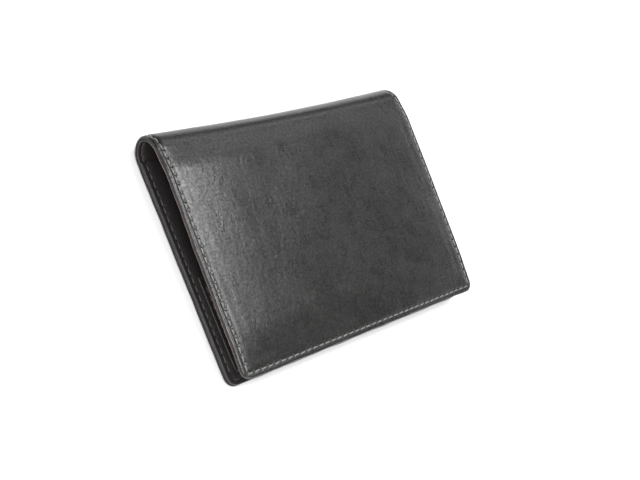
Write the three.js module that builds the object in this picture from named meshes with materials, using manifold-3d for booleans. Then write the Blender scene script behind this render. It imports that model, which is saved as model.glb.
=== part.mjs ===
// Business card case: a folded leather cover with a 2-layer flap, a soft fold along
// one long side, and flat sewn card pockets inside both halves.
//
// Frame, in millimetres: the case lies closed on its back. +X runs along the fold,
// +Y points from the free edges to the fold, +Z points up through the flap.
// The origin is on the back cover's outer face, under the middle of the case.
//
// The leather cover and its lining are continuous in the real case. Here they are cut
// at the four hinge lines of the fold, so that each strip can turn on its own axis.
import * as THREE from "three";
import { mergeVertices } from "three/addons/utils/BufferGeometryUtils.js";
import Module from "manifold-3d";

const wasm = await Module();
wasm.setup();

// ---- driving dimensions -------------------------------------------------------
const WIDTH = 105; // along the fold
const HEIGHT = 73.8; // free edge to the top of the fold
const FOLD_R = 6.2; // outer radius of the fold
const EDGE_TOP = 9.4; // height of the flap's outer face at its free edge
const CORNER_R = 3; // rounded corners at the free edge

const COVER_T = 0.9; // outer leather
const LINING_T = 0.65; // inner leather
const PANEL_T = 0.6; // pocket leather
const SLOT_T = 0.55; // card slot leather
const PLY_GAP = 0.05; // between plies
const BOARD_T = 0.4; // reinforcing board
const BOARD_INSET = 5.5; // board to cover edge

const SEAM_IN = 1.6; // perimeter seam to the edge
const SLOT_SEAM_IN = 1.5; // slot seam to the slot's edge
const THREAD_W = 0.5;
const THREAD_T = 0.3; // outer thread, sunk in its groove
const BOBBIN_T = 0.2; // inner thread, lying on the leather
const GROOVE_W = 0.9;
const GROOVE_D = 0.4;

const HINGES = 4; // hinge lines across the fold
const HINGE_CLEAR = 0.4; // each side of a hinge line, at the outer radius

// ---- derived ------------------------------------------------------------------
const HW = WIDTH / 2;
const Y_FREE = -HEIGHT / 2;
const FOLD_Y = HEIGHT / 2 - FOLD_R; // centre of the fold
const STACK = COVER_T + PLY_GAP + LINING_T;
// tilt of the closed flap: its outer face drops from 2R at the fold to EDGE_TOP
let tilt = 0;
for (let i = 0; i < 50; i++) {
  const len = (FOLD_Y - Y_FREE - FOLD_R * Math.sin(tilt)) / Math.cos(tilt);
  tilt = Math.asin((FOLD_R + FOLD_R * Math.cos(tilt) - EDGE_TOP) / len);
}
const FLAP_L = (FOLD_Y - Y_FREE - FOLD_R * Math.sin(tilt)) / Math.cos(tilt);
const BASE_L = FOLD_Y - Y_FREE;
const TURN = Math.PI + tilt; // whole turn of the fold
const STEP = TURN / HINGES; // turn taken by each hinge
const CLEAR_A = HINGE_CLEAR / FOLD_R;

// ---- solids -------------------------------------------------------------------
function solid(geometry) {
  const g = geometry.index ? geometry.toNonIndexed() : geometry.clone();
  g.deleteAttribute("normal");
  g.deleteAttribute("uv");
  const m = mergeVertices(g, 1e-4);
  return new wasm.Manifold(
    new wasm.Mesh({
      numProp: 3,
      vertProperties: new Float32Array(m.attributes.position.array),
      triVerts: new Uint32Array(m.index.array),
    }),
  );
}

function geometryOf(manifold) {
  const m = manifold.getMesh();
  const n = m.numProp;
  const v = new Float32Array(m.numVert * 3);
  for (let i = 0; i < m.numVert; i++)
    v.set(m.vertProperties.subarray(i * n, i * n + 3), i * 3);
  const g = new THREE.BufferGeometry();
  g.setAttribute("position", new THREE.BufferAttribute(v, 3));
  g.setIndex(new THREE.BufferAttribute(new Uint32Array(m.triVerts), 1));
  return g;
}

const box = (x0, x1, y0, y1, z0, z1) =>
  solid(
    new THREE.BoxGeometry(x1 - x0, y1 - y0, z1 - z0).translate(
      (x0 + x1) / 2,
      (y0 + y1) / 2,
      (z0 + z1) / 2,
    ),
  );

// a plan outline in X and Y, made solid from z0 to z1
const plate = (shape, z0, z1, curveSegments = 6) =>
  solid(
    new THREE.ExtrudeGeometry(shape, {
      depth: z1 - z0,
      bevelEnabled: false,
      curveSegments,
    }).translate(0, 0, z0),
  );

// a section in Y and Z, given as points, made solid from x0 to x1
const CYCLE = new THREE.Matrix4().set(
  0, 0, 1, 0,
  1, 0, 0, 0,
  0, 1, 0, 0,
  0, 0, 0, 1,
);
function along(points, x0, x1) {
  const g = new THREE.ExtrudeGeometry(
    new THREE.Shape(points.map(([y, z]) => new THREE.Vector2(y, z))),
    { depth: x1 - x0, bevelEnabled: false },
  ).translate(0, 0, x0);
  return solid(g.applyMatrix4(CYCLE));
}

// points on the fold: turn 0 is where the back's flat ends, seen from the fold's centre
const onFold = (r, turn) => [r * Math.sin(turn), -r * Math.cos(turn)];
function arc(r, a, b, steps) {
  const out = [];
  for (let i = 0; i <= steps; i++) out.push(onFold(r, a + ((b - a) * i) / steps));
  return out;
}
// a strip of the fold between two turns and two radii
const strip = (r0, r1, a, b, x0, x1, steps = 6) =>
  along([...arc(r1, a, b, steps), ...arc(r0, b, a, steps)], x0, x1);

// a flat ply that runs on into the fold: z0..z1 below the fold's centre, from y0 to the
// start of the fold, then round it as far as turn `end`
function ply(y0, r0, r1, end) {
  return along(
    [[y0, -r1], ...arc(r1, 0, end, 4), ...arc(r0, end, 0, 4), [y0, -r0]],
    -HW,
    HW,
  );
}

// plan outline of a panel with two rounded corners at its low end
function panelShape(hw, y0, y1, r) {
  const s = new THREE.Shape();
  s.moveTo(-hw, y1);
  s.lineTo(-hw, y0 + r);
  s.absarc(-hw + r, y0 + r, r, Math.PI, 1.5 * Math.PI, false);
  s.lineTo(hw - r, y0);
  s.absarc(hw - r, y0 + r, r, 1.5 * Math.PI, 2 * Math.PI, false);
  s.lineTo(hw, y1);
  s.closePath();
  return s;
}

// a seam along both sides and the low end of a panel, as a flat thread or its groove
function seam(hw, y0, y1, inset, width, z0, z1, r = CORNER_R) {
  const outer = plate(
    panelShape(hw - inset + width / 2, y0 + inset - width / 2, y1, r - inset + width / 2),
    z0,
    z1,
    4,
  );
  const inner = plate(
    panelShape(
      hw - inset - width / 2,
      y0 + inset + width / 2,
      y1 + 1,
      Math.max(0.4, r - inset - width / 2),
    ),
    z0 - 1,
    z1 + 1,
    4,
  );
  return outer.subtract(inner);
}

// ---- materials ----------------------------------------------------------------
const mat = (color, roughness) =>
  new THREE.MeshStandardMaterial({ color, roughness, metalness: 0 });
const coverLeather = mat(0x1b1b1c, 0.42);
const liningLeather = mat(0x161516, 0.55);
const pocketLeather = mat(0x19191a, 0.5);
const thread = mat(0x5a5a5c, 0.5);
const innerThread = mat(0x3a3432, 0.6);
const board = mat(0x4a4034, 0.9);

const caseGroup = new THREE.Group();
const add = (parent, name, manifold, material) => {
  const mesh = new THREE.Mesh(geometryOf(manifold), material);
  mesh.name = name;
  parent.add(mesh);
  return mesh;
};

// Each half is drawn lying flat below the fold's centre, then set in place. The flap is
// the mirror of the back about the fold's centre, turned by the tilt.
const back = new THREE.Group();
back.position.set(0, FOLD_Y, FOLD_R);
const flap = new THREE.Group();
flap.position.set(0, FOLD_Y, FOLD_R);
flap.rotation.x = tilt;
const fold = new THREE.Group();
fold.position.set(0, FOLD_Y, FOLD_R);
caseGroup.add(back, fold, flap);

const END = STEP / 2 - CLEAR_A; // turn at which each half's own part of the fold ends
const flipped = (m) => m.scale([1, 1, -1]);

// Solids of one half, with its outer face at z = -FOLD_R.
function coverPly(length) {
  const y0 = -length;
  const plan = plate(panelShape(HW, y0, FOLD_R + 2, CORNER_R), -FOLD_R - 1, 1);
  let m = ply(y0, FOLD_R - COVER_T, FOLD_R, END).intersect(plan);
  m = m.subtract(
    seam(HW, y0, 0.001, SEAM_IN, GROOVE_W, -FOLD_R - 1, -FOLD_R + GROOVE_D),
  );
  for (const s of [-1, 1]) {
    const c = s * (HW - SEAM_IN);
    m = m.subtract(
      strip(FOLD_R - GROOVE_D, FOLD_R + 1, -0.0005, END + 0.2, c - GROOVE_W / 2, c + GROOVE_W / 2, 5),
    );
  }
  // pared on the flesh side to take the board
  const d = BOARD_T + 0.05;
  const zi = -FOLD_R + COVER_T;
  return m.subtract(
    box(
      -HW + BOARD_INSET - 0.3,
      HW - BOARD_INSET + 0.3,
      y0 + BOARD_INSET - 0.3,
      -BOARD_INSET + 2.3,
      zi - d,
      zi + 1,
    ),
  );
}
function boardPly(length) {
  const zi = -FOLD_R + COVER_T;
  return box(
    -HW + BOARD_INSET,
    HW - BOARD_INSET,
    -length + BOARD_INSET,
    -BOARD_INSET + 2,
    zi - BOARD_T - 0.02,
    zi - 0.02,
  );
}
function liningPly(length) {
  const plan = plate(panelShape(HW, -length, FOLD_R + 2, CORNER_R), -FOLD_R - 1, 1);
  return ply(-length, FOLD_R - STACK, FOLD_R - STACK + LINING_T, END).intersect(plan);
}
function needleThread(length) {
  const z0 = -FOLD_R + 0.05;
  let m = seam(HW, -length, 0.01, SEAM_IN, THREAD_W, z0, z0 + THREAD_T);
  for (const s of [-1, 1]) {
    const c = s * (HW - SEAM_IN);
    m = m.add(
      strip(
        FOLD_R - 0.05 - THREAD_T,
        FOLD_R - 0.05,
        0,
        END,
        c - THREAD_W / 2,
        c + THREAD_W / 2,
        4,
      ),
    );
  }
  return m;
}

// ---- back half ----------------------------------------------------------------
const zTop = (t) => -FOLD_R + t; // height above the outer face
add(back, "back_cover", coverPly(BASE_L), coverLeather);
add(back, "back_board", boardPly(BASE_L), board);
add(back, "back_lining", liningPly(BASE_L), liningLeather);
add(back, "back_seam_needle_thread", needleThread(BASE_L), thread);

// Main card pocket: a full-width panel sewn into the perimeter seam on three sides. Its
// mouth faces the fold, with a thumb notch, and its two side strips run up to the fold.
const MOUTH_Y = 14 - FOLD_Y;
const STRIP_IN = 6.5;
const THUMB_R = 9;
{
  const z0 = zTop(STACK + PLY_GAP);
  const s = new THREE.Shape();
  const r = 4;
  const xi = HW - STRIP_IN;
  const y1 = -0.5;
  s.moveTo(-HW, y1);
  s.lineTo(-HW, -BASE_L + CORNER_R);
  s.absarc(-HW + CORNER_R, -BASE_L + CORNER_R, CORNER_R, Math.PI, 1.5 * Math.PI, false);
  s.lineTo(HW - CORNER_R, -BASE_L);
  s.absarc(HW - CORNER_R, -BASE_L + CORNER_R, CORNER_R, 1.5 * Math.PI, 2 * Math.PI, false);
  s.lineTo(HW, y1);
  s.lineTo(xi, y1);
  s.lineTo(xi, MOUTH_Y + r);
  s.absarc(xi - r, MOUTH_Y + r, r, 0, -0.5 * Math.PI, true);
  s.lineTo(THUMB_R, MOUTH_Y);
  s.absarc(0, MOUTH_Y, THUMB_R, 0, -Math.PI, true);
  s.lineTo(-xi + r, MOUTH_Y);
  s.absarc(-xi + r, MOUTH_Y + r, r, 1.5 * Math.PI, Math.PI, true);
  s.lineTo(-xi, y1);
  s.closePath();
  add(back, "main_pocket_panel", plate(s, z0, z0 + PANEL_T, 10), pocketLeather);
}
const MAIN_TOP = STACK + PLY_GAP + PANEL_T;
add(
  back,
  "back_seam_bobbin_thread",
  seam(HW, -BASE_L, -0.7, SEAM_IN, THREAD_W, zTop(MAIN_TOP + 0.02), zTop(MAIN_TOP + 0.02 + BOBBIN_T)),
  innerThread,
);

// Card slot sewn onto the main pocket panel.
const SLOT_HW = HW - 3.2;
const SLOT_Y0 = -BASE_L + 3.2;
const SLOT_R = 1.8;
const BACK_SLOT_Y1 = -5 - FOLD_Y;
add(
  back,
  "back_slot_panel",
  plate(
    panelShape(SLOT_HW, SLOT_Y0, BACK_SLOT_Y1, SLOT_R),
    zTop(MAIN_TOP + PLY_GAP),
    zTop(MAIN_TOP + PLY_GAP + SLOT_T),
  ),
  pocketLeather,
);
const BACK_SLOT_TOP = MAIN_TOP + PLY_GAP + SLOT_T;
add(
  back,
  "back_slot_thread",
  seam(
    SLOT_HW,
    SLOT_Y0,
    BACK_SLOT_Y1 - 0.6,
    SLOT_SEAM_IN,
    THREAD_W,
    zTop(BACK_SLOT_TOP + 0.02),
    zTop(BACK_SLOT_TOP + 0.02 + BOBBIN_T),
    SLOT_R,
  ),
  innerThread,
);

// ---- flap half ----------------------------------------------------------------
add(flap, "flap_cover", flipped(coverPly(FLAP_L)), coverLeather);
add(flap, "flap_board", flipped(boardPly(FLAP_L)), board);
add(flap, "flap_lining", flipped(liningPly(FLAP_L)), liningLeather);
add(flap, "flap_seam_needle_thread", flipped(needleThread(FLAP_L)), thread);
add(
  flap,
  "flap_seam_bobbin_thread",
  flipped(
    seam(HW, -FLAP_L, -0.2, SEAM_IN, THREAD_W, zTop(STACK + 0.02), zTop(STACK + 0.02 + BOBBIN_T)),
  ),
  innerThread,
);
// Slip pocket sewn onto the flap's lining, with its mouth towards the fold.
const FLAP_POCKET_Y0 = -FLAP_L + 3.2;
const FLAP_POCKET_Y1 = -18;
const flapPocketTop = STACK + PLY_GAP + SLOT_T;
add(
  flap,
  "flap_pocket_panel",
  flipped(
    plate(
      panelShape(SLOT_HW, FLAP_POCKET_Y0, FLAP_POCKET_Y1, SLOT_R),
      zTop(STACK + PLY_GAP),
      zTop(flapPocketTop),
    ),
  ),
  pocketLeather,
);
add(
  flap,
  "flap_pocket_thread",
  flipped(
    seam(
      SLOT_HW,
      FLAP_POCKET_Y0,
      FLAP_POCKET_Y1 - 0.6,
      SLOT_SEAM_IN,
      THREAD_W,
      zTop(flapPocketTop + 0.02),
      zTop(flapPocketTop + 0.02 + BOBBIN_T),
      SLOT_R,
    ),
  ),
  innerThread,
);

// ---- the fold -----------------------------------------------------------------
// Three strips between the four hinge lines. Each carries its part of the cover, of the
// lining, and of the seam at both ends.
for (let k = 1; k < HINGES; k++) {
  const a = STEP * (k - 0.5) + CLEAR_A;
  const b = STEP * (k + 0.5) - CLEAR_A;
  let cover = strip(FOLD_R - COVER_T, FOLD_R, a, b, -HW, HW);
  for (const s of [-1, 1]) {
    const c = s * (HW - SEAM_IN);
    cover = cover.subtract(
      strip(FOLD_R - GROOVE_D, FOLD_R + 1, a - 0.1, b + 0.1, c - GROOVE_W / 2, c + GROOVE_W / 2, 8),
    );
  }
  add(fold, `fold_cover_${k}`, cover, coverLeather);
  add(
    fold,
    `fold_lining_${k}`,
    strip(FOLD_R - STACK, FOLD_R - STACK + LINING_T, a, b, -HW, HW),
    liningLeather,
  );
  for (const [side, s] of [
    ["left", -1],
    ["right", 1],
  ]) {
    const c = s * (HW - SEAM_IN);
    add(
      fold,
      `fold_needle_thread_${side}_${k}`,
      strip(FOLD_R - 0.05 - THREAD_T, FOLD_R - 0.05, a, b, c - THREAD_W / 2, c + THREAD_W / 2, 5),
      thread,
    );
    add(
      fold,
      `fold_bobbin_thread_${side}_${k}`,
      strip(
        FOLD_R - STACK - 0.02 - BOBBIN_T,
        FOLD_R - STACK - 0.02,
        a,
        b,
        c - THREAD_W / 2,
        c + THREAD_W / 2,
        5,
      ),
      innerThread,
    );
  }
}

export default caseGroup;
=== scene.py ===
# Business card case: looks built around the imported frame.
import bpy, math
import numpy as np
from mathutils import Matrix, Vector
from mathutils.geometry import delaunay_2d_cdt


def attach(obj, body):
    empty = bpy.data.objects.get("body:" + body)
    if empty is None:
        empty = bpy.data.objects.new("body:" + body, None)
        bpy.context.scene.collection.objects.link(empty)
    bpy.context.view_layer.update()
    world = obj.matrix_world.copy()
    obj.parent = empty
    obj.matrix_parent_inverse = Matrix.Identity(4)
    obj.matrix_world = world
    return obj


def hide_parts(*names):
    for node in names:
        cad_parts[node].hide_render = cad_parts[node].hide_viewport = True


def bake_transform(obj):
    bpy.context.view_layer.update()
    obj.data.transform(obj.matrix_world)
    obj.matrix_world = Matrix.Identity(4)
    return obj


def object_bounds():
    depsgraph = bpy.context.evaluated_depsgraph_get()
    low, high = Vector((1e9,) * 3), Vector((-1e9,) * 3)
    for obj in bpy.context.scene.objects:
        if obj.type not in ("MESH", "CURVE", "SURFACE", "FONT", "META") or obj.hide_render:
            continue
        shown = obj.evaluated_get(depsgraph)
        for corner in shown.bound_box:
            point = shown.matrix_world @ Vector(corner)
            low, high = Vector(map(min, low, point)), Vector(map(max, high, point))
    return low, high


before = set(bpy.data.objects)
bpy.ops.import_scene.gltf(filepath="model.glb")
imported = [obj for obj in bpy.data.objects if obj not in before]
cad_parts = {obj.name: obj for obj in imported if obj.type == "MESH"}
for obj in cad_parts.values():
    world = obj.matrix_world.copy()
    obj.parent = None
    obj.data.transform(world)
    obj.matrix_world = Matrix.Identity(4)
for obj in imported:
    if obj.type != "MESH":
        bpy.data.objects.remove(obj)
cad_lo, cad_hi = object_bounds()
rng = np.random.default_rng(7)

# ---------------------------------------------------------------- frame sizes, mm
MM = 0.001
HW = cad_hi.x / MM                                    # half the width
Y_FREE = cad_lo.y / MM
HEIGHT = (cad_hi.y - cad_lo.y) / MM
FOLD_R = 6.2
EDGE_TOP = 9.4
COVER_T, LINING_T, PANEL_T, SLOT_T, PLY_GAP = 0.9, 0.65, 0.6, 0.55, 0.05
STACK = COVER_T + PLY_GAP + LINING_T
MAIN_TOP = STACK + PLY_GAP + PANEL_T
SLOT_TOP = MAIN_TOP + PLY_GAP + SLOT_T
FLAP_POCKET_TOP = STACK + PLY_GAP + SLOT_T
CORNER_R = 3.0
SEAM_IN = 1.6
PITCH = 2.607
FOLD_Y = Y_FREE + HEIGHT - FOLD_R
tilt = 0.0
for _ in range(50):
    L = (FOLD_Y - Y_FREE - FOLD_R * math.sin(tilt)) / math.cos(tilt)
    tilt = math.asin((FOLD_R + FOLD_R * math.cos(tilt) - EDGE_TOP) / L)
FLAP_L = (FOLD_Y - Y_FREE - FOLD_R * math.sin(tilt)) / math.cos(tilt)
BASE_L = FOLD_Y - Y_FREE
TURN = math.pi + tilt
STEP = TURN / 4
S1 = FLAP_L + FOLD_R * TURN                            # where the back's flat begins
S_END = S1 + BASE_L                                    # the back's free edge
s_of = lambda turn: S1 - FOLD_R * turn                 # unrolled place of a turn of the fold

# ---------------------------------------------------------------- the unrolled sheet
def wave(x, s):
    """slow unevenness of the hide, in mm, common to every ply"""
    a = (0.055 * np.sin(x / 9.1 + 0.7 * np.sin(s / 13.0)) * np.sin(s / 11.7 + 1.3)
         + 0.040 * np.sin(x / 5.3 - s / 7.9 + 2.0)
         + 0.030 * np.sin(x / 3.1 + s / 23.0 + 0.4) * np.sin(s / 6.1 + x / 17.0)
         + 0.10 * np.sin(x / 31.0 + 0.9) * np.sin(s / 25.0 + 0.4))
    # the half is slightly crowned: the sewn margins sit lower than the middle
    low = np.clip((s - 5.0) / 17.0, 0, 1)
    low = 0.5 + 0.5 * low * low * (3 - 2 * low)
    t = low * np.clip((-x - 32.0) / 20.5, 0, 1) ** 1.7 + 0.42 * np.clip((x - 36.0) / 16.5, 0, 1) ** 1.6
    k = np.clip(s / 14.0, 0, 1)
    a = a * (0.35 + 0.65 * k) + 0.85 * (1 - t) * k * k * (3 - 2 * k) - 0.32
    return a

def place(x, s, d):
    """a point of the case: x along the fold, s round the outside from the flap's free edge
    to the back's free edge, d below the outer face; and the outward normal there"""
    x, s, d = np.broadcast_arrays(np.asarray(x, float), np.asarray(s, float), np.asarray(d, float))
    th = np.clip((S1 - s) / FOLD_R, 0, TURN)
    sn, cs = np.sin(th), np.cos(th)
    on_flap = np.clip(FLAP_L - s, 0, None)
    on_back = np.clip(s - S1, 0, None)
    w = wave(x, s)
    flapness = np.clip((FLAP_L + 6 - s) / 12, 0, 1)
    flapness = flapness * flapness * (3 - 2 * flapness)
    k = np.clip((s - S1 + 7) / 7, 0, 1)
    r = FOLD_R - d + w * (0.25 * (1 - k * k * (3 - 2 * k)) + 0.75 * flapness)
    y = FOLD_Y + r * sn + on_flap * np.cos(TURN) - on_back
    z = FOLD_R - r * cs + on_flap * np.sin(TURN)
    u = (x + HW) / (2 * HW)
    lean = -(0.32 * (1 - u) + 0.42 * u) - 1.2 * (1 - (2 * u - 1) ** 2)
    y = y + lean * np.clip(sn, 0, 1)
    # the fold is pressed flatter where it runs into the flap
    up, down = np.clip((s - FLAP_L + 8) / 10.5, 0, 1), np.clip((s - FLAP_L - 4) / 11, 0, 1)
    z = z - (1.40 - 0.35 * u) * up * up * (3 - 2 * up) * (1 - down * down * (3 - 2 * down))
    return np.stack([x, y, z], -1) * MM, np.stack([0 * x, sn, -cs], -1)

def edge_in(x, s, hw=HW, s0=0.0, r=CORNER_R):
    """distance in from the sewn edges of a panel whose free edge is at s0"""
    qx, qs = np.abs(x) - (hw - r), (s0 + r) - s
    return -(np.hypot(np.maximum(qx, 0), np.maximum(qs, 0)) + np.minimum(np.maximum(qx, qs), 0) - r)

def rounded(e, r):
    k = np.clip(1 - e / r, 0, 1)
    return r * (1 - np.sqrt(1 - k * k))

# ---------------------------------------------------------------- stitches
def run(a, b, phase, pitch=PITCH):
    n = int(math.floor((b - a - phase) / pitch)) + 1
    return a + phase + pitch * np.arange(n)

SLANT = math.radians(11)
def stitch_rows():
    """(x, s, dx, ds) of every stitch of the perimeter seam, in travelling order, and its side"""
    rows = []
    xb = -49.88 + PITCH * np.arange(39)
    xs = HW - SEAM_IN
    for x in xb:
        rows.append((x, SEAM_IN, 1, 0, "front"))
    for s in 3.33 + PITCH * np.arange(57):
        if s < S_END - 2.6:
            rows.append((-xs, s, 0, -1, "left"))
    for s in 3.09 + PITCH * np.arange(57):
        if s < S_END - 2.6:
            rows.append((xs, s, 0, 1, "right"))
    for x in xb:
        rows.append((-x, S_END - SEAM_IN, -1, 0, "rear"))
    return rows
ROWS = stitch_rows()

def holes_of(rows, pitch=PITCH, out=0.10):
    h = []
    for x, s, dx, ds, side in rows:
        nx, ns = -ds, dx
        for t in (-0.5, 0.5):
            h.append((x + dx * t * pitch + nx * out, s + ds * t * pitch + ns * out))
    return np.array(h)
HOLES = holes_of(ROWS)

def near(x, s, pts, k=0.3):
    """sum of small round dips at the needle holes"""
    out = np.zeros(len(x))
    for i in range(0, len(pts), 40):
        p = pts[i:i + 40]
        lo, hi = p.min(0) - 1.2, p.max(0) + 1.2
        m = (x > lo[0]) & (x < hi[0]) & (s > lo[1]) & (s < hi[1])
        if m.any():
            d2 = (x[m][:, None] - p[:, 0]) ** 2 + (s[m][:, None] - p[:, 1]) ** 2
            out[m] = np.maximum(out[m], np.exp(-d2 / (k * k)).max(1))
    return out

def seam_dip(x, s, e, holes, depth=0.15, hole=0.3, width=0.5, inset=SEAM_IN):
    dip = depth * np.exp(-((e - inset) / width) ** 2)
    m = np.abs(e - inset) < 1.3
    if m.any():
        add = np.zeros(len(x))
        add[m] = near(x[m], s[m], holes)
        dip = dip + hole * add
    return dip

# ---------------------------------------------------------------- mesh helpers
def make_mesh(name, co, faces, mats=None, face_mat=None, uv=None, sharp=None, smooth=True):
    me = bpy.data.meshes.new(name)
    me.from_pydata([tuple(c) for c in co], [], faces)
    ob = bpy.data.objects.new(name, me)
    bpy.context.scene.collection.objects.link(ob)
    if mats:
        for m in mats:
            me.materials.append(m)
    if face_mat is not None:
        me.polygons.foreach_set("material_index", np.asarray(face_mat, np.int32))
    me.polygons.foreach_set("use_smooth", np.full(len(me.polygons), smooth))
    if uv is not None:
        lay = me.uv_layers.new(name="sheet")
        li = np.zeros(len(me.loops), np.int32)
        me.loops.foreach_get("vertex_index", li)
        lay.data.foreach_set("uv", np.asarray(uv, np.float32)[li].ravel())
    if sharp is not None:
        ev = np.zeros(len(me.edges) * 2, np.int32)
        me.edges.foreach_get("vertices", ev)
        ev = ev.reshape(-1, 2)
        both = sharp[ev[:, 0]] & sharp[ev[:, 1]]
        at = me.attributes.get("sharp_edge") or me.attributes.new("sharp_edge", "BOOLEAN", "EDGE")
        at.data.foreach_set("value", both)
    me.update()
    return ob

FINE = PITCH / 8
def spaced(a, b, step, multiple=1):
    n = max(1, int(round((b - a) / step / multiple))) * multiple
    return np.linspace(a, b, n + 1)

def side_stations(s_lo, s_hi, split_lo, split_hi):
    """fine stations along a side, and how many belong to each coarse step"""
    pts, groups = [s_lo], []
    a, b = s_lo, s_hi
    if split_lo:
        pts.append(s_lo + 0.03); groups.append(1); a = s_lo + 0.03
    if split_hi:
        b = s_hi - 0.03
    flat_end = min(b, FLAP_L - 1.0)
    if flat_end > a + 3:
        st = spaced(a, flat_end, FINE, 3)
        pts += list(st[1:]); groups += [3] * ((len(st) - 1) // 3)
        a = flat_end
    st = spaced(a, b, FINE)
    pts += list(st[1:]); groups += [1] * (len(st) - 1)
    if split_hi:
        pts.append(s_hi); groups.append(1)
    return np.array(pts), groups

def half_side(hw, s_lo, s_hi, levels, corner, split_lo):
    """one face of a sheet in the unrolled plane. Returns points (x, s), faces turning
    counter-clockwise, and the outer ring's vertex ids. corner: the low end is free and rounded."""
    R = CORNER_R
    base_s = s_lo + R if corner else s_lo
    ss, groups = side_stations(base_s, s_hi, split_lo and not corner, True)
    xf = spaced(-hw + R, hw - R, FINE, 3)
    xc = xf[::3]
    ci = np.concatenate([[0], np.cumsum(groups)])       # coarse rows as indices into ss
    sc = ss[ci]
    nx, ns = len(xc), len(sc)
    P = [np.stack([np.tile(xc, ns), np.repeat(sc, nx)], -1)]
    gid = lambda i, j: j * nx + i
    F = []
    for j in range(ns - 1):
        for i in range(nx - 1):
            F.append((gid(i, j), gid(i + 1, j), gid(i + 1, j + 1), gid(i, j + 1)))
    def band(B, D, att):
        K = len(B)
        start = sum(len(p) for p in P)
        for e in levels:
            P.append(B + (R - e) * D)
        rid = lambda l, k: start + l * K + k
        for l in range(len(levels) - 1):
            for k in range(K - 1):
                F.append((rid(l, k), rid(l, k + 1), rid(l + 1, k + 1), rid(l + 1, k)))
        l = len(levels) - 1
        keys = [k for k in range(K) if att[k] >= 0]
        for a, b in zip(keys[:-1], keys[1:]):
            A, C = att[a], att[b]
            if A == C:
                for k in range(a, b):
                    F.append((rid(l, k), rid(l, k + 1), A))
            elif b - a == 1:
                F.append((rid(l, a), rid(l, b), C, A))
            else:
                F.append((rid(l, a), rid(l, a + 1), A))
                F.append((rid(l, a + 1), rid(l, b - 1), C, A))
                F.append((rid(l, b - 1), rid(l, b), C))
        return [rid(0, k) for k in range(K)]
    nS = len(ss)
    attL = np.full(nS, -1); attL[ci] = [gid(0, j) for j in range(ns)]
    attR = np.full(nS, -1); attR[ci] = [gid(nx - 1, j) for j in range(ns)]
    BL = np.stack([np.full(nS, -hw + R), ss], -1)
    BR = np.stack([np.full(nS, hw - R), ss], -1)
    if not corner:
        rL = band(BL[::-1], np.tile([-1.0, 0.0], (nS, 1)), attL[::-1])
        rR = band(BR, np.tile([1.0, 0.0], (nS, 1)), attR)
        rings = [rL, rR]
    else:
        nc = 12
        angL = np.radians(np.linspace(180, 270, nc + 1)[1:])
        angR = np.radians(np.linspace(270, 360, nc + 1)[1:])
        nb = len(xf)
        attB = np.full(nb, -1); attB[::3] = [gid(i, 0) for i in range(nx)]
        B = np.concatenate([BL[::-1], np.tile([[-hw + R, base_s]], (nc, 1)),
                            np.stack([xf[1:], np.full(nb - 1, base_s)], -1),
                            np.tile([[hw - R, base_s]], (nc, 1)), BR[1:]])
        D = np.concatenate([np.tile([-1.0, 0.0], (nS, 1)), np.stack([np.cos(angL), np.sin(angL)], -1),
                            np.tile([0.0, -1.0], (nb - 1, 1)), np.stack([np.cos(angR), np.sin(angR)], -1),
                            np.tile([1.0, 0.0], (nS - 1, 1))])
        att = np.concatenate([attL[::-1], [-1] * (nc - 1), [gid(0, 0)], attB[1:],
                              [-1] * (nc - 1), [gid(nx - 1, 0)], attR[1:]])
        rings = [band(B, D, att)]
    P = np.concatenate(P)
    return P, F, rings

def order_row(P, s, tol=1e-6):
    idx = np.where(np.abs(P[:, 1] - s) < tol)[0]
    return idx[np.argsort(P[idx, 0])]

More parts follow.
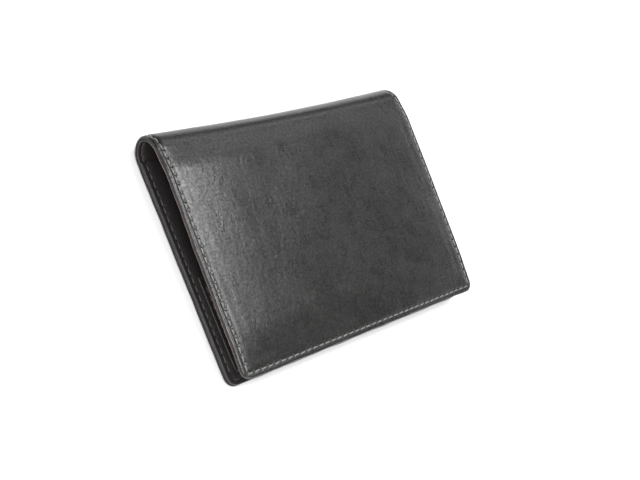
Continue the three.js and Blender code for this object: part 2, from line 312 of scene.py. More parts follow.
def sheet_piece(name, s_lo, s_hi, corner, mirrored, depth_out, depth_in, hw, lev_out, lev_in,
                mats, rim_wobble=0.0):
    """a closed leather piece between two places of the unrolled case"""
    Po, Fo, Ro = half_side(hw, s_lo, s_hi, lev_out, corner, True)
    Pi, Fi, Ri = half_side(hw, s_lo, s_hi, lev_in, corner, True)
    real = (lambda s: S_END - s) if mirrored else (lambda s: s)
    co = []
    uvs = []
    for P, fn in ((Po, depth_out), (Pi, depth_in)):
        x, s = P[:, 0], P[:, 1]
        e = edge_in(x, s, hw, s_lo) if corner else hw - np.abs(x)
        rs = real(s)
        d = fn(x, rs, e)
        if rim_wobble:
            k = np.clip(1 - e / 0.5, 0, 1)
            wob = rim_wobble * k * (np.sin(s / 3.7 + x / 2.9) + 0.6 * np.sin(s / 1.3 - x / 1.7 + 1))
            # move in from the edge
            qx = np.sign(x) * np.clip((np.abs(x) - (hw - CORNER_R)) / CORNER_R, 0, 1)
            qs = -np.clip(((s_lo + CORNER_R) - s) / CORNER_R, 0, 1) if corner else 0 * s
            nrm = np.hypot(qx, qs) + 1e-9
            x = x - wob * qx / nrm
            rs = rs - (wob * qs / nrm) * (-1 if mirrored else 1)
        p, _ = place(x, rs, d)
        co.append(p)
        uvs.append(np.stack([x * 0.01, rs * 0.01], -1))
    n = len(Po)
    faces = list(Fo) + [tuple(v + n for v in f[::-1]) for f in Fi]
    fm = [0] * len(Fo) + [1] * len(Fi)
    for ro, ri in zip(Ro, Ri):
        for k in range(len(ro) - 1):
            faces.append((ri[k] + n, ri[k + 1] + n, ro[k + 1], ro[k])); fm.append(2)
    sharp = np.zeros(2 * 0 + n + len(Pi), bool)
    ends = [s_hi] if corner else [s_lo, s_hi]
    for sv in ends:
        a = order_row(Po, sv); b = order_row(Pi, sv)
        sharp[a] = True; sharp[b + n] = True
        # a cap between two rows that may hold different numbers of points
        i = j = 0
        while i < len(a) - 1 or j < len(b) - 1:
            xa = Po[a[i + 1], 0] if i < len(a) - 1 else 1e9
            xb = Pi[b[j + 1], 0] if j < len(b) - 1 else 1e9
            if abs(xa - xb) < 1e-9:
                f = (a[i], a[i + 1], b[j + 1] + n, b[j] + n); i += 1; j += 1
            elif xa < xb:
                f = (a[i], a[i + 1], b[j] + n); i += 1
            else:
                f = (a[i], b[j + 1] + n, b[j] + n); j += 1
            f = tuple(int(v) for v in f)
            faces.append(f[::-1] if sv == s_lo and not corner else f); fm.append(1)
    if mirrored:
        faces = [f[::-1] for f in faces]
    return make_mesh(name, np.concatenate(co), faces, mats, fm, np.concatenate(uvs), sharp)


def panel(name, outline, d_low, d_high, mats, step=1.0, edge=0.14, extra=None):
    """a flat ply with any outline, given in the unrolled plane as (x, s) points"""
    o = np.asarray(outline, float)
    area = 0.5 * np.sum(o[:, 0] * np.roll(o[:, 1], -1) - np.roll(o[:, 0], -1) * o[:, 1])
    if area < 0:
        o = o[::-1]
    nx_ = np.roll(o, -1, 0)
    def dist(p):
        out = np.full(len(p), 1e9)
        a, b = o, nx_
        ab = b - a
        l2 = np.maximum((ab ** 2).sum(1), 1e-12)
        for i in range(0, len(p), 1500):
            q = p[i:i + 1500]
            t = np.clip(((q[:, None] - a) * ab).sum(2) / l2, 0, 1)
            out[i:i + 1500] = np.sqrt((((a + t[..., None] * ab) - q[:, None]) ** 2).sum(2)).min(1)
        return out
    t = nx_ - np.roll(o, 1, 0)
    t /= np.linalg.norm(t, axis=1)[:, None]
    inward = np.stack([-t[:, 1], t[:, 0]], -1)
    pts, es = [o], [np.zeros(len(o))]
    for e in (0.05, 0.14, 0.3, 0.6, 0.95, 1.25, 1.5, 1.75, 2.1, 2.6):
        q = o + inward * e
        dq = dist(q)
        keep = dq > e - 0.012
        pts.append(q[keep]); es.append(dq[keep])
    gx = np.arange(o[:, 0].min() + step / 2, o[:, 0].max(), step)
    gs = np.arange(o[:, 1].min() + step / 2, o[:, 1].max(), step)
    g = np.stack(np.meshgrid(gx, gs), -1).reshape(-1, 2)
    dg = dist(g)
    # inside test by crossing number
    inside = np.zeros(len(g), bool)
    for (x0, y0), (x1, y1) in zip(o, nx_):
        c = (y0 > g[:, 1]) != (y1 > g[:, 1])
        with np.errstate(divide="ignore", invalid="ignore"):
            xc = (x1 - x0) * (g[:, 1] - y0) / (y1 - y0) + x0
        inside ^= c & (g[:, 0] < xc)
    keep = inside & (dg > 3.0)
    pts.append(g[keep]); es.append(dg[keep])
    allp = np.concatenate(pts)
    n0 = len(o)
    vc, _, fc, ov, _, _ = delaunay_2d_cdt([Vector(p) for p in allp], [(i, (i + 1) % n0) for i in range(n0)],
                                          [], 1, 1e-7)
    P = np.array([(v.x, v.y) for v in vc])
    e = dist(P)
    e[e < 1e-4] = 0
    ring = [None] * n0
    for i, src in enumerate(ov):
        for k in src:
            if k < n0:
                ring[k] = i
    F = []
    for f in fc:
        a = P[list(f)]
        ar = (a[1][0] - a[0][0]) * (a[2][1] - a[0][1]) - (a[2][0] - a[0][0]) * (a[1][1] - a[0][1])
        F.append(tuple(f) if ar > 0 else tuple(f[::-1]))
    n = len(P)
    x, s = P[:, 0], P[:, 1]
    lo = d_low + rounded(e, edge * 0.6)
    hi = d_high - rounded(e, edge)
    if extra is not None:
        hi = hi - extra(x, s, e)
    A, _ = place(x, s, lo)
    B, _ = place(x, s, hi)
    faces = F + [tuple(v + n for v in f[::-1]) for f in F]
    fm = [0] * len(F) + [0] * len(F)
    for k in range(n0):
        a, b = ring[k], ring[(k + 1) % n0]
        faces.append((a + n, b + n, b, a)); fm.append(len(mats) - 1)
    uv = np.tile(P * 0.01, (2, 1))
    return make_mesh(name, np.concatenate([A, B]), faces, mats, fm, uv)

def box_outline(hw, s0, s1, r, step=0.5):
    """outline with two rounded corners at the free edge s0, squared off at s1"""
    pts = []
    for t in np.linspace(s1, s0 + r, int((s1 - s0 - r) / step) + 1)[:-1]:
        pts.append((-hw, t))
    for a in np.radians(np.linspace(180, 270, 9)):
        pts.append((-hw + r + r * np.cos(a), s0 + r + r * np.sin(a)))
    for t in np.linspace(-hw + r, hw - r, int((2 * hw - 2 * r) / step) + 1)[1:-1]:
        pts.append((t, s0))
    for a in np.radians(np.linspace(270, 360, 9)):
        pts.append((hw - r + r * np.cos(a), s0 + r + r * np.sin(a)))
    for t in np.linspace(s0 + r, s1, int((s1 - s0 - r) / step) + 1)[1:]:
        pts.append((hw, t))
    for t in np.linspace(hw, -hw, int(2 * hw / step) + 1)[1:-1]:
        pts.append((t, s1))
    return np.array(pts)

# ---------------------------------------------------------------- thread
def thread(name, stitches, mat, radius, depth, sink, slant, side=1, length=0.92, segs=14, sides=12, lay=0.0):
    """twisted sewing thread. stitches: rows of (x, s, dx, ds, pitch). depth(x, s) is the depth of the
    surface it lies on; side 1 is the outside of the case, -1 the inside. sink: how deep its ends go."""
    co, faces, uv = [], [], []
    t = np.linspace(0, 1, segs + 1)
    prof = 1 - np.abs(2 * t - 1) ** 3.2
    ang = np.linspace(0, 2 * np.pi, sides, endpoint=False)
    for n, (x, s, dx, ds, pitch) in enumerate(stitches):
        sl = slant * (1 + rng.uniform(-0.22, 0.22))
        c, q = math.cos(sl), math.sin(sl)
        ux, us = dx * c - ds * q, dx * q + ds * c
        vx, vs = -us, ux
        half = pitch * length * 0.5 * (1 + rng.uniform(-0.03, 0.03))
        rr = radius * (1 + rng.uniform(-0.05, 0.05))
        off = rng.uniform(-0.04, 0.04)
        a = (2 * t - 1) * half
        bow = 0.05 * pitch * np.sin(2 * np.pi * t) * 0.5
        px = x + ux * a + vx * (off + bow)
        ps = s + us * a + vs * (off + bow)
        base = depth(px, ps)
        h = -sink + (sink + lay) * prof
        cen, nrm = place(px, ps, base - side * h)
        nrm = nrm * side
        tan = np.gradient(cen, axis=0)
        tan /= np.linalg.norm(tan, axis=1)[:, None]
        bi = np.cross(nrm, tan)
        bi /= np.linalg.norm(bi, axis=1)[:, None]
        up = np.cross(tan, bi)
        ph = rng.uniform(0, 2 * np.pi)
        v0 = len(co)
        for i in range(segs + 1):
            tw = ph + 2 * np.pi * a[i] / 1.9
            shrink = 0.55 + 0.45 * min(1, prof[i] * 3.0)
            r_ = rr * shrink * (0.90 + 0.13 * np.abs(np.cos(1.5 * (ang - tw))) ** 0.8)
            ring = cen[i] + (np.cos(ang) * r_)[:, None] * bi[i] * MM * 1.06 + (np.sin(ang) * r_)[:, None] * up[i] * MM * 0.92
            co.extend(ring)
            uv.extend([(a[i] * 0.01 + n, k / sides) for k in range(sides)])
        for i in range(segs):
            for k in range(sides):
                k2 = (k + 1) % sides
                faces.append((v0 + i * sides + k, v0 + i * sides + k2, v0 + (i + 1) * sides + k2, v0 + (i + 1) * sides + k))
        faces.append(tuple(v0 + k for k in range(sides))[::-1])
        faces.append(tuple(v0 + segs * sides + k for k in range(sides)))
    co = np.array(co)
    me_faces = faces
    # face the tubes outwards
    f0 = np.array(me_faces[0])
    c0 = co[:sides].mean(0)
    nr = np.cross(co[f0[1]] - co[f0[0]], co[f0[2]] - co[f0[0]])
    if np.dot(nr, co[f0].mean(0) - c0) < 0:
        me_faces = [f[::-1] for f in me_faces]
    return make_mesh(name, co, me_faces, [mat], None, np.array(uv))

# ---------------------------------------------------------------- materials
def material(name):
    m = bpy.data.materials.new(name)
    m.use_nodes = True
    nt = m.node_tree
    nt.nodes.clear()
    out = nt.nodes.new("ShaderNodeOutputMaterial")
    bs = nt.nodes.new("ShaderNodeBsdfPrincipled")
    nt.links.new(bs.outputs[0], out.inputs[0])
    return m, nt, bs

class Net:
    def __init__(self, nt):
        self.nt = nt
    def node(self, kind, **kw):
        n = self.nt.nodes.new(kind)
        for k, v in kw.items():
            setattr(n, k, v)
        return n
    def put(self, sock, v):
        if hasattr(v, "is_output") or isinstance(v, bpy.types.NodeSocket):
            self.nt.links.new(v, sock)
        else:
            sock.default_value = v
    def math(self, op, a, b=0.0, c=0.0, clamp=False):
        n = self.node("ShaderNodeMath", operation=op, use_clamp=clamp)
        for i, v in enumerate((a, b, c)):
            if i < len(n.inputs):
                self.put(n.inputs[i], v)
        return n.outputs[0]
    def noise(self, vec, scale, detail=3.0, rough=0.5, distort=0.0):
        n = self.node("ShaderNodeTexNoise")
        self.put(n.inputs["Vector"], vec)
        n.inputs["Scale"].default_value = scale
        n.inputs["Detail"].default_value = detail
        n.inputs["Roughness"].default_value = rough
        n.inputs["Distortion"].default_value = distort
        return n.outputs[0]
    def voronoi(self, vec, scale, feature="F1", rand=1.0):
        n = self.node("ShaderNodeTexVoronoi", feature=feature, voronoi_dimensions="2D")
        self.put(n.inputs["Vector"], vec)
        n.inputs["Scale"].default_value = scale
        n.inputs["Randomness"].default_value = rand
        return n.outputs["Distance"]
    def ramp(self, fac, stops):
        n = self.node("ShaderNodeValToRGB")
        r = n.color_ramp
        while len(r.elements) < len(stops):
            r.elements.new(0.5)
        for el, (p, c) in zip(r.elements, stops):
            el.position = p
            el.color = (*c, 1) if len(c) == 3 else c
        self.put(n.inputs[0], fac)
        return n.outputs[0]
    def maprange(self, v, a, b, c, d, smooth=False):
        n = self.node("ShaderNodeMapRange")
        if smooth:
            n.interpolation_type = "SMOOTHSTEP"
        self.put(n.inputs[0], v)
        for i, q in enumerate((a, b, c, d)):
            self.put(n.inputs[1 + i], q)
        return n.outputs[0]
    def scale(self, vec, xyz):
        n = self.node("ShaderNodeVectorMath", operation="MULTIPLY")
        self.put(n.inputs[0], vec)
        n.inputs[1].default_value = xyz
        return n.outputs[0]
    def bump(self, height, dist, strength=1.0, normal=None):
        n = self.node("ShaderNodeBump")
        n.inputs["Strength"].default_value = strength
        n.inputs["Distance"].default_value = dist
        self.put(n.inputs["Height"], height)
        if normal is not None:
            self.put(n.inputs["Normal"], normal)
        return n.outputs[0]
    def mix(self, fac, a, b):
        n = self.node("ShaderNodeMix", data_type="RGBA")
        self.put(n.inputs[0], fac)
        self.put(n.inputs[6], a if not isinstance(a, tuple) else (*a, 1))
        self.put(n.inputs[7], b if not isinstance(b, tuple) else (*b, 1))
        return n.outputs[2]

def sheet_mm(net):
    """the sheet's own x and s, in mm"""
    u = net.node("ShaderNodeUVMap", uv_map="sheet")
    return net.scale(u.outputs[0], (100.0, 100.0, 0.0))

def srgb(r, g, b):
    f = lambda c: ((c / 255 + 0.055) / 1.055) ** 2.4 if c > 10 else c / 255 / 12.92
    return (f(r), f(g), f(b))

def leather(name, dark, light, rough, grain=1.0, size=1.0, spots=1.0):
    """smooth calf: soft pebbles about a millimetre across, fine creases between them, pores"""
    m, nt, bs = material(name)
    n = Net(nt)
    p = sheet_mm(n)
    warp = n.node("ShaderNodeVectorMath", operation="ADD")
    wn_ = n.node("ShaderNodeTexNoise")
    n.put(wn_.inputs["Vector"], p)
    wn_.inputs["Scale"].default_value = 0.5 * size
    nt.links.new(p, warp.inputs[0])
    nt.links.new(n.scale(wn_.outputs["Color"], (0.9, 0.9, 0.0)), warp.inputs[1])
    q = warp.outputs[0]
    cells = n.voronoi(q, 0.95 * size, "DISTANCE_TO_EDGE")
    small = n.voronoi(q, 2.3 * size, "DISTANCE_TO_EDGE")
    pebble = n.noise(q, 0.95 * size, 3.0, 0.55)
    pores = n.noise(p, 5.0 * size, 2.0, 0.6)
    patch = n.noise(p, 0.05, 4.0, 0.6, 0.6)
    blotch = n.noise(p, 0.22, 3.0, 0.6, 0.8)
    long_ = n.noise(n.scale(p, (0.22, 0.05, 0.0)), 1.0, 3.0, 0.55, 0.8)
    crease = n.noise(n.scale(p, (0.42, 0.26, 0.0)), 1.0, 4.0, 0.6, 0.9)
    cell_h = n.maprange(cells, 0.0, 0.22, 0.0, 1.0, True)
    small_h = n.maprange(small, 0.0, 0.20, 0.0, 1.0, True)
    tone = n.math("ADD", n.math("MULTIPLY", patch, 0.45), n.math("MULTIPLY", long_, 0.3))
    tone = n.math("ADD", tone, n.math("MULTIPLY", blotch, 0.25))
    tone = n.maprange(tone, 0.36, 0.66, 0.0, 1.0)
    speck = n.math("MULTIPLY", n.maprange(pebble, 0.35, 0.65, 0.40, 1.0), n.maprange(cell_h, 0.0, 1.0, 0.82, 1.0))
    tone = n.math("ADD", n.math("MULTIPLY", tone, 0.32), n.math("MULTIPLY", speck, 0.62))
    nt.links.new(n.mix(tone, dark, light), bs.inputs["Base Color"])
    r = n.math("ADD", n.math("MULTIPLY", patch, 0.16), n.math("MULTIPLY", blotch, 0.16))
    r = n.math("ADD", r, n.math("MULTIPLY", pores, 0.06))
    r = n.math("ADD", r, n.math("MULTIPLY", cell_h, -0.05))
    r = n.math("ADD", r, rough - 0.14)
    nt.links.new(r, bs.inputs["Roughness"])
    h = n.math("ADD", n.math("MULTIPLY", pebble, 0.20 * grain), n.math("MULTIPLY", cell_h, 0.02 * grain))
    h = n.math("ADD", h, n.math("MULTIPLY", small_h, 0.015 * grain))
    h = n.math("ADD", h, n.math("MULTIPLY", pores, 0.022 * grain))
    b1 = n.bump(h, 0.0001, 1.0)
    b2 = n.bump(crease, 0.00010, 0.8, b1)
    nt.links.new(b2, bs.inputs["Normal"])
    shine = n.maprange(n.noise(q, 1.25 * size, 2.0, 0.6), 0.34, 0.66, 0.50 - 0.18 * spots, 0.50 + 0.14 * spots)
    shine = n.math("MULTIPLY", shine, n.maprange(cell_h, 0.0, 1.0, 0.90, 1.03))
    nt.links.new(shine, bs.inputs["Specular IOR Level"])
    bs.inputs["IOR"].default_value = 1.48
    return m

def cut_edge(name, core, skin, band=0.5):
    """painted and burnished leather edge, with a little fibre showing"""
    m, nt, bs = material(name)
    n = Net(nt)
    co = n.node("ShaderNodeTexCoord").outputs["Object"]
    a = n.noise(n.scale(co, (1800, 1800, 5200)), 1.0, 3.0, 0.65)
    b = n.noise(n.scale(co, (260, 260, 260)), 1.0, 3.0, 0.6)
    k = n.maprange(n.math("ADD", n.math("MULTIPLY", a, 0.55), n.math("MULTIPLY", b, 0.45)), 0.36, 0.62, 0.0, 1.0)
    nt.links.new(n.mix(k, core, skin), bs.inputs["Base Color"])
    nt.links.new(n.math("ADD", n.math("MULTIPLY", a, 0.35), band - 0.18), bs.inputs["Roughness"])
    nt.links.new(n.bump(a, 0.00008, 0.6), bs.inputs["Normal"])
    return m

def thread_mat(name, dark, light, rough, sheen):
    m, nt, bs = material(name)
    n = Net(nt)
    u = n.node("ShaderNodeUVMap", uv_map="sheet").outputs[0]
    sep = n.node("ShaderNodeSeparateXYZ")
    nt.links.new(u, sep.inputs[0])
    along = n.math("MULTIPLY", sep.outputs[0], 100.0)
    round_ = sep.outputs[1]
    wave_ = n.math("SINE", n.math("ADD", n.math("MULTIPLY", along, 9.9), n.math("MULTIPLY", round_, 18.85)))
    co = n.node("ShaderNodeTexCoord").outputs["Object"]
    fib = n.noise(n.scale(co, (9000, 9000, 9000)), 1.0, 2.0, 0.6)
    k = n.math("ADD", n.math("MULTIPLY", wave_, 0.28), fib, clamp=True)
    nt.links.new(n.mix(k, dark, light), bs.inputs["Base Color"])
    nt.links.new(n.bump(n.math("ADD", n.math("MULTIPLY", wave_, 0.3), fib), 0.00004, 0.7), bs.inputs["Normal"])
    bs.inputs["Roughness"].default_value = rough
    bs.inputs["Sheen Weight"].default_value = sheen
    bs.inputs["Sheen Roughness"].default_value = 0.4
    return m

COVER = leather("cover_leather", srgb(7, 7, 7), srgb(29, 29, 28), 0.29, 1.0, 1.0)
FLESH = leather("cover_flesh_side", srgb(14, 12, 11), srgb(30, 26, 24), 0.80, 1.4, 1.3)
LINING = leather("lining_leather", srgb(20, 16, 16), srgb(30, 26, 26), 0.50, 0.9, 1.25)
POCKET = leather("pocket_leather", srgb(22, 21, 21), srgb(34, 32, 32), 0.40, 0.9, 1.2)
COVER_EDGE = cut_edge("cover_cut_edge", srgb(12, 10, 10), srgb(24, 21, 21), 0.45)
LINING_EDGE = cut_edge("lining_cut_edge", srgb(30, 23, 22), srgb(58, 46, 44), 0.5)
# The flap's two cut-edge materials are lighter copies of the edge colours used on the back and fold: the added
# lightness is a painted highlight along the flap's edges.
FLAP_COVER_EDGE_PAINTED_HIGHLIGHT = cut_edge("flap_cover_cut_edge_painted_highlight", srgb(34, 29, 28), srgb(66, 58, 56), 0.40)
FLAP_LINING_EDGE_PAINTED_HIGHLIGHT = cut_edge("flap_lining_cut_edge_painted_highlight", srgb(74, 56, 52), srgb(126, 104, 98), 0.46)
POCKET_EDGE = cut_edge("pocket_cut_edge", srgb(26, 22, 21), srgb(48, 42, 40), 0.45)
NEEDLE = thread_mat("needle_thread", srgb(54, 54, 54), srgb(116, 116, 114), 0.38, 0.12)
BOBBIN = thread_mat("bobbin_thread", srgb(30, 27, 26), srgb(56, 52, 50), 0.45, 0.08)

def board_mat():
    m, nt, bs = material("board_fibre")
    n = Net(nt)
    co = n.node("ShaderNodeTexCoord").outputs["Object"]
    a = n.noise(n.scale(co, (900, 3200, 900)), 1.0, 4.0, 0.7)
    b = n.noise(n.scale(co, (140, 140, 140)), 1.0, 3.0)
    k = n.math("ADD", n.math("MULTIPLY", a, 0.7), n.math("MULTIPLY", b, 0.3))
    nt.links.new(n.mix(k, srgb(96, 82, 66), srgb(150, 134, 112)), bs.inputs["Base Color"])
    nt.links.new(n.bump(a, 0.00006, 0.6), bs.inputs["Normal"])
    bs.inputs["Roughness"].default_value = 0.9
    return m
BOARD = board_mat()

# ---------------------------------------------------------------- plies
LEV_OUT = (0.0, 0.012, 0.05, 0.11, 0.19, 0.29, 0.41, 0.55, 0.72, 0.88, 1.03, 1.22, 1.42, 1.6, 1.78, 1.98, 2.2, 2.42, 2.64)
LEV_IN = (0.0, 0.04, 0.12, 0.25, 0.6, 1.1, 1.4, 1.6, 1.8, 2.1, 2.64)

def on_back(s, a=5.0, b=0.0):
    k = np.clip((s - (S1 - a)) / (a + b), 0, 1)
    return k * k * (3 - 2 * k)

def cover_out(x, s, e):
    kb = on_back(s)
    d = rounded(e, 0.72) * (1 - 0.22 * kb)
    d = d + seam_dip(x, s, e, HOLES, 0.0, 0.48 - 0.16 * kb)
    d = d + (0.11 + 0.27 * kb) * np.exp(-((e - SEAM_IN) / 0.48) ** 2)
    up = np.clip((e - 1.75) / 1.35, 0, 1)
    lump = np.sin(x / 3.3 + s / 2.9 + 1.1) * np.sin(s / 4.7 - x / 6.1) * np.exp(-((e - 2.9) / 1.2) ** 2)
    d = d - (0.15 * up * up * (3 - 2 * up) + 0.05 * lump) * (1 - kb)
    d = d + 0.08 * np.exp(-(e / 2.4) ** 2) * kb
    board = np.clip((e - 4.6) / 2.2, 0, 1)
    board = board * board * (3 - 2 * board)
    flat = np.clip((FLAP_L - 4 - s) / 3, 0, 1)
    d = d - 0.07 * board * flat
    return d

def recess(x, s):
    """1 inside the pared bed of the board"""
    a = np.clip((HW - 5.2 - np.abs(x)) / 0.35, 0, 1)
    f = np.clip((s - 5.2) / 0.35, 0, 1) * np.clip((FLAP_L - 3.2 - s) / 0.35, 0, 1)
    m = S_END - s
    b = np.clip((m - 5.2) / 0.35, 0, 1) * np.clip((BASE_L - 3.2 - m) / 0.35, 0, 1)
    return a * np.maximum(f, b)

def cover_in(x, s, e):
    return COVER_T - rounded(e, 0.30) * 0.45 - 0.45 * recess(x, s)

def lining_low(x, s, e):
    return COVER_T + PLY_GAP + rounded(e, 0.34) * 0.7

def lining_high(x, s, e):
    return STACK - rounded(e, 0.26) - seam_dip(x, s, e, HOLES, 0.12, 0.26) * (1 - on_back(s, 0.4, 0.4))

SPLITS = [s_of(STEP * k) for k in range(5)]            # turn 0, 1, 2, 3, 4 steps
def sheets(tag, fn_out, fn_in, inset, lev_out, lev_in, mats, wobble, flap_edge_painted_highlight):
    hw = HW - inset
    out = {}
    out["A"] = sheet_piece(f"back_{tag}_sheet", inset, S_END - SPLITS[1], True, True, fn_out, fn_in, hw, lev_out, lev_in, mats, wobble)
    out["B"] = sheet_piece(f"fold_{tag}_sheet_low", SPLITS[2], SPLITS[1], False, False, fn_out, fn_in, hw, lev_out, lev_in, mats, wobble)
    out["C"] = sheet_piece(f"fold_{tag}_sheet_high", SPLITS[3], SPLITS[2], False, False, fn_out, fn_in, hw, lev_out, lev_in, mats, wobble)
    # the flap piece takes the lighter cut-edge copy, a painted highlight along its edge
    flap_mats_painted_highlight = mats[:2] + [flap_edge_painted_highlight]
    out["D"] = sheet_piece(f"flap_{tag}_sheet", inset, SPLITS[3], True, False, fn_out, fn_in, hw, lev_out, lev_in, flap_mats_painted_highlight, wobble)
    return out

def hinge(obj):
    """bakes the piece's placement into its mesh"""
    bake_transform(obj)

covers = sheets("cover", cover_out, cover_in, 0.0, LEV_OUT, LEV_IN, [COVER, FLESH, COVER_EDGE], 0.05, FLAP_COVER_EDGE_PAINTED_HIGHLIGHT)
linings = sheets("lining", lining_low, lining_high, 0.10, LEV_IN, LEV_OUT, [FLESH, LINING, LINING_EDGE], 0.07, FLAP_LINING_EDGE_PAINTED_HIGHLIGHT)
for key in "ABCD":
    for d, slot, nodes in (
        (covers, "cover_leather", {"A": ["back_cover", "fold_cover_1"], "B": ["fold_cover_2"], "C": ["fold_cover_3"], "D": ["flap_cover"]}),
        (linings, "lining_leather", {"A": ["back_lining", "fold_lining_1"], "B": ["fold_lining_2"], "C": ["fold_lining_3"], "D": ["flap_lining"]}),
    ):
        hinge(d[key])
        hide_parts(*nodes[key])

# boards between the plies
for name, s0, s1, body, node in (
    ("back_board_sheet", S_END - (BASE_L - 3.5), S_END - 5.5, "back", "back_board"),
    ("flap_board_sheet", 5.5, FLAP_L - 3.5, "flap", "flap_board"),
):
    hw = HW - 5.5
    xs_, ss_ = np.linspace(-hw, hw, 60), np.linspace(s0, s1, 40)
    o = np.array([(v, s0) for v in xs_] + [(hw, v) for v in ss_[1:]] + [(v, s1) for v in xs_[::-1][1:]] + [(-hw, v) for v in ss_[::-1][1:-1]])
    ob = panel(name, o, 0.50, 0.88, [BOARD], 3.0, 0.03)
    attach(ob, body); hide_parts(node)

# ---------------------------------------------------------------- pockets
def main_outline():
    y2s = lambda y: S1 + FOLD_Y - y
    y0, y1 = Y_FREE + 0.06, FOLD_Y - 0.5
    mouth, r, xi, R = 14.0, 4.0, HW - 6.5, 9.0
    hw, c = HW - 0.06, CORNER_R
    pts = []
    seg = lambda a, b, n: [(a[0] + (b[0] - a[0]) * t, a[1] + (b[1] - a[1]) * t) for t in np.linspace(0, 1, n)[:-1]]
    arc = lambda cx, cy, rr, a, b, n: [(cx + rr * math.cos(t), cy + rr * math.sin(t)) for t in np.radians(np.linspace(a, b, n))[:-1]]
    pts += seg((-hw, y1), (-hw, y0 + c), 120)
    pts += arc(-hw + c, y0 + c, c, 180, 270, 10)
    pts += seg((-hw + c, y0), (hw - c, y0), 190)
    pts += arc(hw - c, y0 + c, c, 270, 360, 10)
    pts += seg((hw, y0 + c), (hw, y1), 120)
    pts += seg((hw, y1), (xi, y1), 12)
    pts += seg((xi, y1), (xi, mouth + r), 24)
    pts += arc(xi - r, mouth + r, r, 0, -90, 12)
    pts += seg((xi - r, mouth), (R + 1.2, mouth), 60)
    # the notch, its shoulders softly rounded
    pts += arc(R + 1.2, mouth - 1.2, 1.2, 90, 172, 6)
    pts += arc(0, mouth, R, -9, -171, 40)
    pts += arc(-R - 1.2, mouth - 1.2, 1.2, 8, 90, 6)
    pts += seg((-R - 1.2, mouth), (-xi + r, mouth), 60)
    pts += arc(-xi + r, mouth + r, r, 270, 180, 12)
    pts += seg((-xi, mouth + r), (-xi, y1), 24)
    pts += seg((-xi, y1), (-hw, y1), 12)
    return np.array([(x, y2s(y)) for x, y in pts])

def panel_unevenness(x, s):
    return 0.03 * np.sin(x / 7.0 + s / 9.0) * np.sin(s / 6.0 - x / 11.0 + 0.7)

SLOT_HW, SLOT_R, SLOT_SEAM = HW - 3.2, 1.8, 1.5
def u_seam(hw, s_free, s_top, inset, r, pitch, away):
    """stitches along three sides of a pocket. away = 1 if the free edge is the low s end"""
    st = []
    xs = hw - inset
    corner = max(0.8, r - inset)
    length = abs(s_top - s_free) - inset - corner
    n = int(length / pitch)
    for k in range(n):
        s = s_free + away * (inset + corner + pitch * (k + 0.5))
        st.append((-xs, s, 0, -1, pitch)); st.append((xs, s, 0, 1, pitch))
    nb = int((2 * xs - 2 * corner) / pitch)
    p2 = (2 * xs - 2 * corner) / nb
    for k in range(nb):
        st.append((-xs + corner + p2 * (k + 0.5), s_free + away * inset, 1, 0, p2))
    c = corner * (1 - math.sqrt(0.5))
    st.append((-xs + c, s_free + away * (inset + c), 0.7071, -0.7071 * away, corner * 1.45))
    st.append((xs - c, s_free + away * (inset + c), 0.7071, 0.7071 * away, corner * 1.45))
    return st

def holes_at(st):
    h = []
    for x, s, dx, ds, p in st:
        for t in (-0.5, 0.5):
            h.append((x + dx * t * p, s + ds * t * p))
    return np.array(h)

back_free = S_END
slot_free = S_END - 3.2
slot_top = S1 + FOLD_Y + 5.0                            # the slot's mouth, at y = -5
pocket_free = 3.2
pocket_top = FLAP_L - 18.0
slot_st = u_seam(SLOT_HW, slot_free, slot_top + 0.6, SLOT_SEAM, SLOT_R, PITCH, -1)
pocket_st = u_seam(SLOT_HW, pocket_free, pocket_top - 0.6, SLOT_SEAM, SLOT_R, PITCH, 1)
slot_holes, pocket_holes = holes_at(slot_st), holes_at(pocket_st)

def three_sided(x, s, hw, free, r, away):
    t = (s - free) * away
    qx, qs = np.abs(x) - (hw - r), r - t
    return -(np.hypot(np.maximum(qx, 0), np.maximum(qs, 0)) + np.minimum(np.maximum(qx, qs), 0) - r)

def main_extra(x, s, e):
    q = three_sided(x, s, HW - 0.06, S_END - 0.06, CORNER_R, -1)
    return seam_dip(x, s, q, HOLES, 0.12, 0.24) + panel_unevenness(x, s) * np.clip((q - 3) / 3, 0, 1)

def slot_extra(x, s, e):
    q = three_sided(x, s, SLOT_HW, slot_free, SLOT_R, -1)
    return seam_dip(x, s, q, slot_holes, 0.10, 0.22, 0.45, SLOT_SEAM) + panel_unevenness(x + 9, s) * np.clip((q - 3) / 3, 0, 1)

def pocket_extra(x, s, e):
    q = three_sided(x, s, SLOT_HW, pocket_free, SLOT_R, 1)
    return seam_dip(x, s, q, pocket_holes, 0.10, 0.22, 0.45, SLOT_SEAM) + panel_unevenness(x + 5, s + 8) * np.clip((q - 3) / 3, 0, 1)

def flip(o, free):
    return np.stack([o[:, 0], free - o[:, 1]], -1)

main = panel("main_pocket_sheet", main_outline(), STACK + PLY_GAP, MAIN_TOP, [POCKET, POCKET_EDGE], 1.0, 0.18, main_extra)
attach(main, "back"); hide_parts("main_pocket_panel")
o = box_outline(SLOT_HW, 0.0, slot_free - slot_top, SLOT_R)
slot_ob = panel("back_slot_sheet", flip(o, slot_free), MAIN_TOP + PLY_GAP, SLOT_TOP, [POCKET, POCKET_EDGE], 1.0, 0.18, slot_extra)
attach(slot_ob, "back"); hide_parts("back_slot_panel")
o = box_outline(SLOT_HW, pocket_free, pocket_top, SLOT_R)
pocket_ob = panel("flap_pocket_sheet", o, STACK + PLY_GAP, FLAP_POCKET_TOP, [POCKET, POCKET_EDGE], 1.0, 0.18, pocket_extra)
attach(pocket_ob, "flap"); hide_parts("flap_pocket_panel")

# ---------------------------------------------------------------- stitching
def key_of(s):
    return "D" if s < SPLITS[3] else "C" if s < SPLITS[2] else "B" if s < SPLITS[1] else "A"

by_key = {k: [] for k in "ABCD"}
for x, s, dx, ds, side in ROWS:
    by_key[key_of(s)].append((x, s, dx, ds, PITCH))

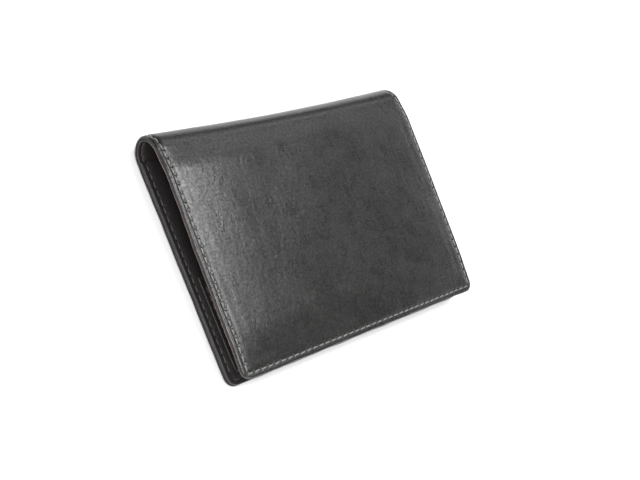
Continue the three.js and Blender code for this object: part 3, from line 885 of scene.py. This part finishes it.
outer_depth = lambda x, s: 0.12 + 0.30 * on_back(s)
def inner_depth(x, s):
    k = np.clip((s - (S1 + 0.1)) / 0.8, 0, 1)
    return STACK - 0.08 + (MAIN_TOP - STACK) * k
needle_nodes = {"A": ["back_seam_needle_thread", "fold_needle_thread_left_1", "fold_needle_thread_right_1"],
                "B": ["fold_needle_thread_left_2", "fold_needle_thread_right_2"],
                "C": ["fold_needle_thread_left_3", "fold_needle_thread_right_3"],
                "D": ["flap_seam_needle_thread"]}
bobbin_nodes = {k: [n.replace("needle", "bobbin") for n in v] for k, v in needle_nodes.items()}
NAMES = {"A": "back", "B": "fold_low", "C": "fold_high", "D": "flap"}
for key in "ABCD":
    ob = thread(f"{NAMES[key]}_needle_stitches", by_key[key], NEEDLE, 0.215, outer_depth, 0.46, math.radians(10), 1, 0.78, lay=0.05)
    hinge(ob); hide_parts(*needle_nodes[key])
    ob = thread(f"{NAMES[key]}_bobbin_stitches", by_key[key], BOBBIN, 0.17, inner_depth, 0.34, math.radians(7), -1, 0.90, lay=0.05)
    hinge(ob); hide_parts(*bobbin_nodes[key])
ob = thread("back_slot_stitches", slot_st, BOBBIN, 0.21, lambda x, s: SLOT_TOP - 0.07 + 0 * x, 0.30, math.radians(7), -1, 0.90, lay=0.04)
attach(ob, "back"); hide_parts("back_slot_thread")
ob = thread("flap_pocket_stitches", pocket_st, BOBBIN, 0.21, lambda x, s: FLAP_POCKET_TOP - 0.07 + 0 * x, 0.30, math.radians(7), -1, 0.90, lay=0.04)
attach(ob, "flap"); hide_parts("flap_pocket_thread")

# ---------------------------------------------------------------- floor, light, camera
fm_, fnt, fbs = material("studio_floor")
fn = Net(fnt)
fco = fn.node("ShaderNodeTexCoord").outputs["Object"]
fnt.links.new(fn.mix(fn.noise(fco, 3.0), (0.62, 0.62, 0.62), (0.65, 0.65, 0.65)), fbs.inputs["Base Color"])
fbs.inputs["Roughness"].default_value = 0.85
bpy.ops.mesh.primitive_plane_add(size=6.0, location=(0, 0, -0.0002))
floor = bpy.context.object
floor.name = "studio_floor"
floor.data.materials.append(fm_)

world = bpy.data.worlds.new("studio") if bpy.context.scene.world is None else bpy.context.scene.world
bpy.context.scene.world = world
world.use_nodes = True
wn = world.node_tree
wn.nodes.clear()
bg = wn.nodes.new("ShaderNodeBackground")
bg.inputs[0].default_value = (1.0, 1.0, 1.0, 1)
bg.inputs[1].default_value = 0.18
wo = wn.nodes.new("ShaderNodeOutputWorld")
wn.links.new(bg.outputs[0], wo.inputs[0])

def area(name, at, to, size, watts, tint=(1, 1, 1)):
    li = bpy.data.lights.new(name, "AREA")
    li.shape = "RECTANGLE"
    li.size, li.size_y = size
    li.energy = watts
    li.color = tint
    ob = bpy.data.objects.new(name, li)
    bpy.context.scene.collection.objects.link(ob)
    ob.location = at
    ob.rotation_euler = (Vector(to) - Vector(at)).to_track_quat("-Z", "Y").to_euler()
    return ob
area("key_softbox", (-0.53, -0.06, 0.62), (0, 0, 0), (0.55, 0.55), 10.5)
area("high_softbox", (0.22, 0.17, 0.82), (0, 0, 0), (0.46, 0.42), 7.9)
area("side_softbox", (0.90, -0.10, 0.36), (0, 0, 0), (1.0, 0.26), 2.0)
area("front_softbox", (0.05, -0.85, 0.30), (0, 0, 0), (1.0, 0.4), 6.5)
area("rear_softbox", (0.50, 0.54, 0.46), (0, 0, 0), (0.5, 0.3), 0.95)

cam = bpy.data.cameras.new("camera")
cam.lens = 67.5
cam.sensor_width = 36
cam.sensor_fit = "HORIZONTAL"
cam.clip_start = 0.01
cam_ob = bpy.data.objects.new("camera", cam)
bpy.context.scene.collection.objects.link(cam_ob)
M = Matrix(((0.67247491, 0.20913808, -0.70995688), (-0.38005863, 0.92069214, -0.08877737), (0.63508499, 0.32952579, 0.69862709))).to_4x4()
M.translation = Vector((-0.260021, -0.038023, 0.259418))
cam_ob.matrix_world = M
bpy.context.scene.camera = cam_ob
bpy.context.scene.view_settings.view_transform = "Standard"
